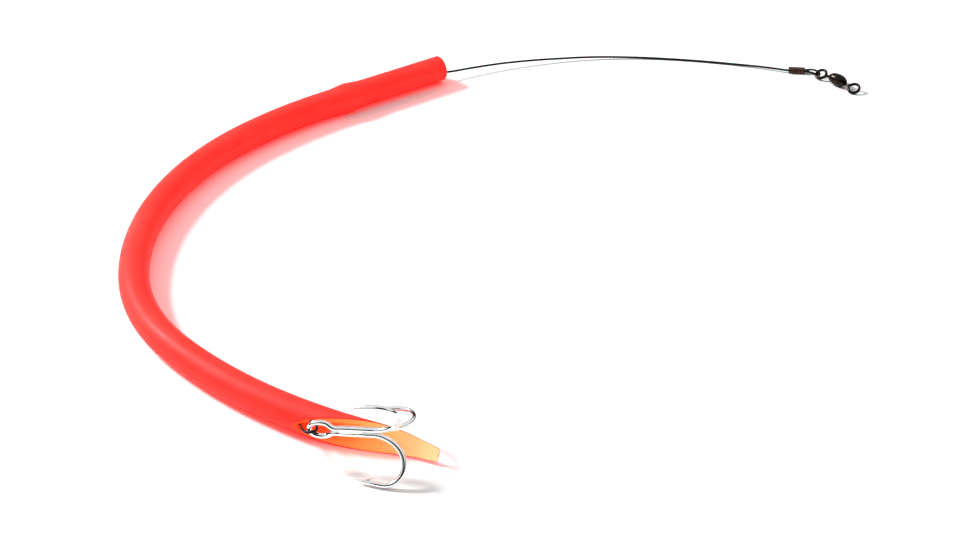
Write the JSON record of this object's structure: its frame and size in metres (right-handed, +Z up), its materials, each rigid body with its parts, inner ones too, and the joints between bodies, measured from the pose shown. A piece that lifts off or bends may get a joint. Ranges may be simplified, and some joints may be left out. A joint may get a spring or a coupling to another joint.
{
  "type": "surgical tube fishing lure with treble hook",
  "caption": "Rigged soft tube trolling lure: bevel-tailed rubber tube with a head weight, cable leader, crimp sleeves, barrel swivel and a trailing treble hook.",
  "frame": {"origin": "centre of the underside of the box round the tube and the treble hook, on the table that they rest on", "axes": "+Z up from the table; +Y from the tail to the head; +X towards the open side of the C and the swivel"},
  "size_m": [0.25, 0.2546, 0.0254],
  "materials": {
    "rubber": "smooth translucent latex",
    "lead": "dull cast lead",
    "cable": "nylon coat over steel strand",
    "sleeve": "dark oxidised copper",
    "swivel": "black nickel",
    "hook": "bright tinned",
    "braze": "tinned braze"
  },
  "bodies": {
    "lure": {"tube_body": "rubber", "head_sinker": "lead", "leader_cable": "cable", "leader_core": "cable", "front_sleeve": "sleeve", "front_loop": "cable", "rear_sleeve": "sleeve", "rear_loop": "cable"},
    "treble": {"treble_double_hook": "hook", "treble_single_hook": "hook", "treble_braze": "braze"},
    "swivel_rear": {"swivel_rear_eye": "swivel"},
    "swivel_middle": {"swivel_barrel": "swivel"},
    "swivel_front": {"swivel_front_eye": "swivel"}
  },
  "joints": [
    {"name": "treble_swing", "type": "hinge", "parent": "lure", "child": "treble", "pos_m": [0.01577, -0.10689, 0.01023], "axis": [-0.062, 0.1169, 0.9912], "range_deg": [-70, 4]},
    {"name": "swivel_swing", "type": "hinge", "parent": "lure", "child": "swivel_rear", "pos_m": [0.18596, 0.11833, 0.00168], "axis": [-0.4157, -0.2855, 0.8635], "range_deg": [-60, 60]},
    {"name": "rear_eye_spin", "type": "hinge", "parent": "swivel_rear", "child": "swivel_middle", "pos_m": [0.1916, 0.1123, 0.00225], "axis": [0.6833, -0.7302, 0], "continuous": true},
    {"name": "front_eye_spin", "type": "hinge", "parent": "swivel_middle", "child": "swivel_front", "pos_m": [0.1916, 0.1123, 0.00225], "axis": [0.6833, -0.7302, 0], "continuous": true}
  ]
}
